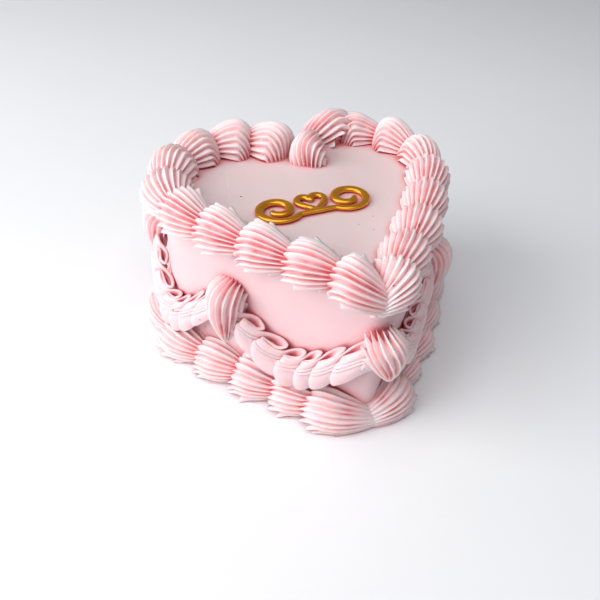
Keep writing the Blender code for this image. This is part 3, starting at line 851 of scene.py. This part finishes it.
# %% Path of one fold
FOLDS = {
    "right": (0, 0.13, 0.29, 0.41, 0.56, 0.7, 0.86, 1),
    "left": (0, 0.115, 0.245, 0.425, 0.56, 0.665, 0.81, 1),
}
BAND_Z = 50 * MM
GARLAND_SAG = 20 * MM
NOTCH_ROOM = 7 * MM
GARLAND_TUCK = 3 * MM
COLUMNS_PER_FOLD = 30
BAND_AT = 0.36
RIBBON_THICK = 1.5 * MM
# Along at top, band and hem in pitches; out at top, band and hem; top height; hem depth; swelling
FOLD_PATH = (
    (0.14, -0.04, -0.16, 5.0, 6.3, 7.8, 4.4, -9.8, 1.8),
    (0.28, 0.12, 0.00, 5.8, 7.3, 9.4, 4.8, -12.4, 1.6),
    (0.55, 0.50, 0.50, 5.8, 6.6, 8.8, 5.0, -13.2, 1.2),
    (0.98, 0.95, 0.92, 4.6, 4.6, 6.0, 5.6, -12.0, 0.5),
    (1.38, 1.22, 1.12, 1.8, 2.0, 3.4, 7.0, -10.5, 0.0),
    (1.80, 1.42, 1.22, 1.0, 1.2, 2.2, 8.6, -9.5, 0.0),
    (2.16, 1.55, 1.26, 2.6, 2.3, 2.6, 8.2, -9.5, 0.0),
    (1.88, 1.40, 1.20, 4.9, 4.2, 4.2, 6.2, -10.0, 0.0),
    (1.52, 1.20, 1.08, 4.9, 4.8, 5.2, 5.2, -10.4, 0.3),
    (1.24, 1.02, 0.92, 4.6, 5.3, 6.3, 4.6, -10.2, 1.0),
)
BEADS = (-0.055, 0.05)
BEAD_HEIGHT = 1.6
BEAD_WIDTH = 0.022
BEAD_ASIDE = 0.05
BELLY = 1.7
BELLY_SHAPE = 0.7
KNOB_BULGE = 0.05


def smooth_row(place):
    """The nine numbers of the path at a place on a smooth curve through its rows."""
    number, share = divmod(place, 1)
    around = []
    for k in range(int(number) - 1, int(number) + 3):
        turn, index = divmod(k, len(FOLD_PATH))
        row = FOLD_PATH[index]
        around.append([value + turn for value in row[:3]] + list(row[3:]))
    return [0.5 * (2 * p1 + (p2 - p0) * share + (2 * p0 - 5 * p1 + 4 * p2 - p3) * share ** 2
                   + (3 * p1 - p0 - 3 * p2 + p3) * share ** 3) for p0, p1, p2, p3 in zip(*around)]


def ribbon_point(place, down):
    """Place along in pitches, distance from the wall and height from the band, in millimetres."""
    top, band, hem, top_out, band_out, hem_out, rise, fall, swelling = smooth_row(place)
    if down < BAND_AT:
        share = down / BAND_AT
        point = Vector((top, top_out, rise)).lerp(Vector((band, band_out, 0)), share)
        point.y += swelling * math.sin(math.pi * share)
    else:
        share = (down - BAND_AT) / (1 - BAND_AT)
        point = Vector((band, band_out, 0)).lerp(Vector((hem, hem_out, fall)), share)
        point.y += BELLY * math.sin(math.pi * share ** BELLY_SHAPE)
        point.x -= KNOB_BULGE * swelling * math.sin(math.pi * share)
    for bead in BEADS:
        swell = math.exp(-((down - BAND_AT - bead) / BEAD_WIDTH) ** 2)
        point.y += BEAD_HEIGHT * swell
        point.x -= BEAD_ASIDE * swelling * swell
    return point


print("fold starts at", [round(c, 2) for c in ribbon_point(0, 0)])

# %% [markdown]
# ## Laying the garlands
# The rows of the grid lie closer together at the two thin ridges. The ribbon hangs lowest in the
# middle of each garland, and near the wall its colour is painted with a salmon shade. After
# Solidify one level of subdivision rounds the cut edges, as soft cream would.

# %% Garlands
PLAIN_ROWS_ABOVE = 6
BEAD_ROWS = 16
PLAIN_ROWS_BELOW = 8
BEADS_FROM, BEADS_TO = 0.26, 0.46
END_ROOM = 0.03
SAG_SHAPE = 1.3
SHORTEST = 0.62
FALL_SHARES = (0.92, 1.08)
LIFTS = (-0.4, 0.4)
WALL_SHADE_DEPTH, WALL_SHADE_REACH = 0.55, 9
GARLAND_SEEDS = {"right": 310, "left": 290}
ROWS = ([BEADS_FROM * i / PLAIN_ROWS_ABOVE for i in range(PLAIN_ROWS_ABOVE)]
        + [BEADS_FROM + (BEADS_TO - BEADS_FROM) * i / BEAD_ROWS for i in range(BEAD_ROWS)]
        + [BEADS_TO + (1 - BEADS_TO) * i / PLAIN_ROWS_BELOW for i in range(PLAIN_ROWS_BELOW + 1)])


def garland_share(folds, place):
    """Share of the garland's length at a place counted in folds, eased at the garland's ends."""
    number = min(max(int(math.floor(place)), 0), len(folds) - 2)
    share = folds[number] + (place - number) * (folds[number + 1] - folds[number])
    if share > 1:
        return 1 + END_ROOM * math.tanh((share - 1) / END_ROOM)
    if share < 0:
        return END_ROOM * math.tanh(share / END_ROOM)
    return share


def make_garland(name, start, end, folds, seed):
    """One ribbon from arc length start to arc length end."""
    deselect()
    count = len(folds) - 1
    bpy.ops.mesh.primitive_grid_add(x_subdivisions=count * COLUMNS_PER_FOLD,
                                    y_subdivisions=len(ROWS) - 1, size=2)
    piece = bpy.context.object
    draw = random.Random(seed)
    uneven = [(draw.uniform(*FALL_SHARES), draw.uniform(*LIFTS)) for _ in range(count)]
    hollows = []
    for vertex in piece.data.vertices:
        x, y = (vertex.co.x + 1) / 2, (vertex.co.y + 1) / 2
        down = ROWS[round(y * (len(ROWS) - 1))]
        number = min(int(x * count), count - 1)
        point = ribbon_point(x * count * len(FOLD_PATH), down)
        share = garland_share(folds, point.x)
        stretch, lift = uneven[number]
        hang = math.sin(math.pi * min(max(share, 0), 1))
        if point.z < 0:
            stretch *= SHORTEST + (1 - SHORTEST) * hang
        z = BAND_Z - GARLAND_SAG * hang ** SAG_SHAPE + (point.z * stretch + lift) * MM
        vertex.co = edge(start + (end - start) * share, point.y * MM) + UP * z
        # Painted shade: the nearer the ribbon lies to the wall, the more it turns to the salmon shade
        # pink.
        hollows.append(max(0.0, WALL_SHADE_DEPTH - point.y / WALL_SHADE_REACH))
    mark_hollows(piece, hollows)
    face_outwards()
    thick = piece.modifiers.new("thickness", "SOLIDIFY")
    thick.thickness = RIBBON_THICK
    thick.offset = 0
    soften = piece.modifiers.new("soft edges", "SUBSURF")
    soften.levels = soften.render_levels = 1
    for modifier in ("thickness", "soft edges"):
        bpy.ops.object.modifier_apply(modifier=modifier)
    garland = finish_piece(piece, "ruffled_" + name, RUFFLED)
    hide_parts(name)


stops = [*DROP_PLACES, HALF_EDGE - NOTCH_ROOM]
for side, label in ((1, "right"), (-1, "left")):
    for number, (start, end) in enumerate(zip(stops, stops[1:]), 1):
        far, near = side * (end - GARLAND_TUCK), side * (start + GARLAND_TUCK)
        make_garland(f"garland_{label}_{number}", far, near, FOLDS[label],
                     GARLAND_SEEDS[label] + number)
print("garlands:", sum(name.startswith("ruffled") for name in pieces))

# %% [markdown]
# ## Specks of food colouring
# The pink comes from a thick paste stirred into the cream. A few grains of it never dissolve and
# stay as dark red specks, up to two millimetres across, pressed flat by the scraper or the nozzle.
# One flattened ball is modelled once. Each copy gets its own mesh and is laid on the nearest place
# of the piece that it sits in, and all are joined.

# %% Specks
SPECK_FLATNESS = 0.3
PASTE_CLOUD = 0.6 * MM
# Piece, place and radius in millimetres
SPECKS = (
    ("coated_cake", (-35.9, 23.0, 85), 0.5),
    ("coated_cake", (20.3, -14.3, 85), 0.35),
    ("coated_cake", (10.6, -18.3, 85), 0.3),
    ("coated_cake", (-8.2, -38.7, 85), 0.35),
    ("coated_cake", (15.7, -24.4, 85), 0.3),
    ("coated_cake", (-64.2, 0.4, 23), 0.45),
    ("piped_top_shell_right_03", (29.1, -41.0, 95.5), 0.9),
    ("piped_top_shell_right_01", (1.1, -69.7, 89.5), 0.5),
    ("ruffled_garland_left_2", (-78.9, 7.9, 32.7), 0.5),
    ("ruffled_garland_left_2", (-69.3, -10.1, 38.5), 0.45),
    ("ruffled_garland_right_1", (32.3, -50.1, 33.7), 0.4),
    ("ruffled_garland_right_1", (29.8, -55.6, 33.2), 0.35),
)


def colouring_paste():
    """Dried paste of red food colouring: dark and wet-looking."""
    made, tree, shader = new_material("colouring_paste")
    place = add_node(tree, "TexCoord", {}).outputs["Object"]
    cloud = add_node(tree, "TexNoise", {"Vector": place, "Scale": 1 / PASTE_CLOUD, "Detail": 2.0})
    tint = add_node(tree, "Mix", {"Factor": cloud.outputs["Fac"], "A": colour("#A51E35"),
                                  "B": colour("#C8465A")}, data_type="RGBA")
    feed(tree, shader, {"Base Color": tint.outputs["Result"], "Roughness": 0.3, "IOR": FAT_IOR})
    return made


def make_specks():
    """All specks as one piece."""
    deselect()
    bpy.ops.mesh.primitive_ico_sphere_add(subdivisions=2, radius=1)
    bpy.ops.transform.resize(value=(1, 1, SPECK_FLATNESS))
    bpy.ops.object.transform_apply(location=False, rotation=False, scale=True)
    grain = bpy.context.object
    for host, place, radius in SPECKS:
        speck = grain.copy()
        speck.data = grain.data.copy()
        bpy.context.scene.collection.objects.link(speck)
        _, spot, normal, _ = pieces[host].closest_point_on_mesh(Vector(place) * MM)
        laid = normal.to_track_quat("Z", "Y").to_matrix().to_4x4()
        speck.data.transform(Matrix.Translation(spot) @ laid @ Matrix.Scale(radius * MM, 4))
        speck.select_set(True)
        bpy.context.view_layer.objects.active = speck
    grain.select_set(False)
    bpy.ops.object.join()
    piece = bpy.context.object
    bpy.data.objects.remove(grain)
    return finish_piece(piece, "colour_specks", colouring_paste())


specks = make_specks()
print("specks:", len(SPECKS), "faces:", len(specks.data.polygons))

# %% [markdown]
# ## The gilt ornament
# The ornament is cast sugar painted with gold lustre: a small open heart between two scrolls. Its
# strokes are round in section and pressed flat, thin at their starts and full in their curves, as
# a pen would draw them. They start as curves with a round bevel, become meshes, are pressed flat,
# and a fine remesh melts them into one casting.

# %% Ornament
ORNAMENT_PLACE = Vector((-4.5 * MM, 3.5 * MM, CAKE_HEIGHT + 0.3 * MM))
PEN_RADIUS = 2.1 * MM
PEN_FLATNESS = 0.6
SCROLL_X = 19 * MM
SCROLL_RADIUS = 10.5 * MM
SCROLL_TURNS = 1.35
SCROLL_START = math.radians(-140)
SCROLL_SHRINK = 0.72
SCROLL_STRETCH = 1.15
SCROLL_FOOT = (-2 * MM, -6.5 * MM)
SMALL_HEART = 0.46 * MM
SMALL_HEART_RISE = 3
CASTING_GRAIN = 0.28 * MM
# Widths of the pen as shares of its radius, and how much they swell
FOOT_WIDTH = 0.9
SCROLL_WIDTH, SCROLL_SWELL = 0.78, 0.34
HEART_WIDTH, HEART_SWELL = 0.85, 0.15
LUSTRE_CLOUD = 3 * MM
LUSTRE_FLAKE = 0.5 * MM


def scroll_points(side, steps=60):
    """Spiral stroke from the ornament's foot out and round to its curl, with its pen width."""
    points = [(side * SCROLL_FOOT[0], SCROLL_FOOT[1], FOOT_WIDTH)]
    for i in range(steps + 1):
        share = i / steps
        angle = SCROLL_START + share * SCROLL_TURNS * 2 * math.pi
        radius = SCROLL_RADIUS * (1 - SCROLL_SHRINK * share)
        across = SCROLL_X + SCROLL_STRETCH * radius * math.cos(angle)
        width = SCROLL_WIDTH + SCROLL_SWELL * math.sin(math.pi * share)
        points.append((side * across, radius * math.sin(angle), width))
    return points


def heart_points(steps=72):
    """Closed outline of the small heart, by the well known heart curve, fuller at its lobes."""
    points = []
    for i in range(steps):
        turn = 2 * math.pi * i / steps
        across = 16 * math.sin(turn) ** 3
        rise = (13 * math.cos(turn) - 5 * math.cos(2 * turn) - 2 * math.cos(3 * turn)
                - math.cos(4 * turn))
        points.append((across * SMALL_HEART, (rise + SMALL_HEART_RISE) * SMALL_HEART,
                       HEART_WIDTH + HEART_SWELL * math.cos(turn)))
    return points


def pen_stroke(points, closed):
    """A stroke as a curve with a round bevel."""
    curve = bpy.data.curves.new("stroke", "CURVE")
    curve.dimensions = "3D"
    curve.bevel_depth = PEN_RADIUS
    curve.bevel_resolution = 5
    curve.use_fill_caps = True
    line = curve.splines.new("POLY")
    line.points.add(len(points) - 1)
    for slot, (x, y, width) in zip(line.points, points):
        slot.co = (x, y, 0, 1)
        slot.radius = width
    line.use_cyclic_u = closed
    stroke = bpy.data.objects.new("stroke", curve)
    bpy.context.scene.collection.objects.link(stroke)
    return stroke


def gilt_sugar():
    """Gold lustre on cast sugar: metal flakes in a clear glaze, glossy, with a few soft hollows."""
    made, tree, shader = new_material("gilt_sugar")
    place = add_node(tree, "TexCoord", {}).outputs["Object"]
    cloud = add_node(tree, "TexNoise", {"Vector": place, "Scale": 1 / LUSTRE_CLOUD, "Detail": 3.0})
    tint = add_node(tree, "Mix", {"Factor": cloud.outputs["Fac"], "A": colour("#DA8A0C"),
                                  "B": colour("#F4B030")}, data_type="RGBA")
    flakes = add_node(tree, "TexNoise", {"Vector": place, "Scale": 1 / LUSTRE_FLAKE, "Detail": 2.0})
    relief = add_node(tree, "Bump", {"Height": flakes.outputs["Fac"], "Strength": 0.15,
                                     "Distance": 0.15 * MM})
    feed(tree, shader, {"Base Color": tint.outputs["Result"], "Normal": relief.outputs["Normal"],
                        "Metallic": 0.75, "Roughness": 0.28, "Coat Weight": 0.25,
                        "Coat Roughness": 0.08})
    return made


def make_ornament():
    """The three strokes as one casting."""
    deselect()
    strokes = [pen_stroke(scroll_points(1), False), pen_stroke(scroll_points(-1), False),
               pen_stroke(heart_points(), True)]
    for stroke in strokes:
        stroke.select_set(True)
    bpy.context.view_layer.objects.active = strokes[0]
    bpy.ops.object.convert(target="MESH")
    bpy.ops.object.join()
    piece = bpy.context.object
    for vertex in piece.data.vertices:
        vertex.co.z = (vertex.co.z + PEN_RADIUS) * PEN_FLATNESS
        vertex.co += ORNAMENT_PLACE
    melt = piece.modifiers.new("melt", "REMESH")
    melt.mode = "VOXEL"
    melt.voxel_size = CASTING_GRAIN
    ease = piece.modifiers.new("ease", "SMOOTH")
    ease.factor = 0.5
    ease.iterations = 3
    for modifier in ("melt", "ease"):
        bpy.ops.object.modifier_apply(modifier=modifier)
    face_outwards()
    ornament = finish_piece(piece, "cast_ornament", gilt_sugar())
    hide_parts("gilt_ornament")
    return ornament


ornament = make_ornament()
print("ornament:", len(ornament.data.polygons), "faces")

# %% [markdown]
# ## Floor and light
# The cake stands on a plain pale floor under one large soft window light from the left, low
# enough that the left border throws a soft shade over the top. A weaker square light above stands
# for a pale ceiling, and a faint world light fills the rest.

# %% Floor and light
FLOOR_REACH = 6.0
CLOUDS_A_METRE = 6.0
AIM = Vector((0, 0, 0.04))
LIGHTS = {
    "window": {"place": Vector((-1.05, 0.02, 0.6)), "size": 1.1, "power": 15.5, "tint": "#FFFCFA"},
    "ceiling": {"place": Vector((-0.2, -0.2, 1.3)), "size": 1.2, "power": 9, "tint": "#FFFFFF"},
}


def floor_material():
    """Matt pale paper, very slightly uneven in tone."""
    made, tree, shader = new_material("pale_paper")
    place = add_node(tree, "TexCoord", {}).outputs["Object"]
    cloud = add_node(tree, "TexNoise", {"Vector": place, "Scale": CLOUDS_A_METRE, "Detail": 3.0})
    tint = add_node(tree, "Mix", {"Factor": cloud.outputs["Fac"], "A": colour("#F1F4F8"),
                                  "B": colour("#F7F9FC")}, data_type="RGBA")
    feed(tree, shader, {"Base Color": tint.outputs["Result"], "Roughness": 0.8})
    return made


def make_light(name, place, size, power, tint):
    """Square area light that faces the cake."""
    data = bpy.data.lights.new(name, "AREA")
    data.shape = "SQUARE"
    data.size = size
    data.energy = power
    data.color = colour(tint)[:3]
    light = bpy.data.objects.new(name, data)
    light.location = place
    light.rotation_euler = (AIM - place).to_track_quat("-Z", "Y").to_euler()
    bpy.context.scene.collection.objects.link(light)


deselect()
bpy.ops.mesh.primitive_plane_add(size=FLOOR_REACH)
floor_plane = bpy.context.object
floor_plane.name = "pale_floor"
floor_plane.data.materials.append(floor_material())
for name, numbers in LIGHTS.items():
    make_light(name, **numbers)
world = bpy.data.worlds.new("room")
world.use_nodes = True
background = world.node_tree.nodes["Background"]
feed(world.node_tree, background, {"Color": colour("#F6F8FC"), "Strength": 0.18})
bpy.context.scene.world = world
bpy.context.scene.view_settings.view_transform = "Standard"
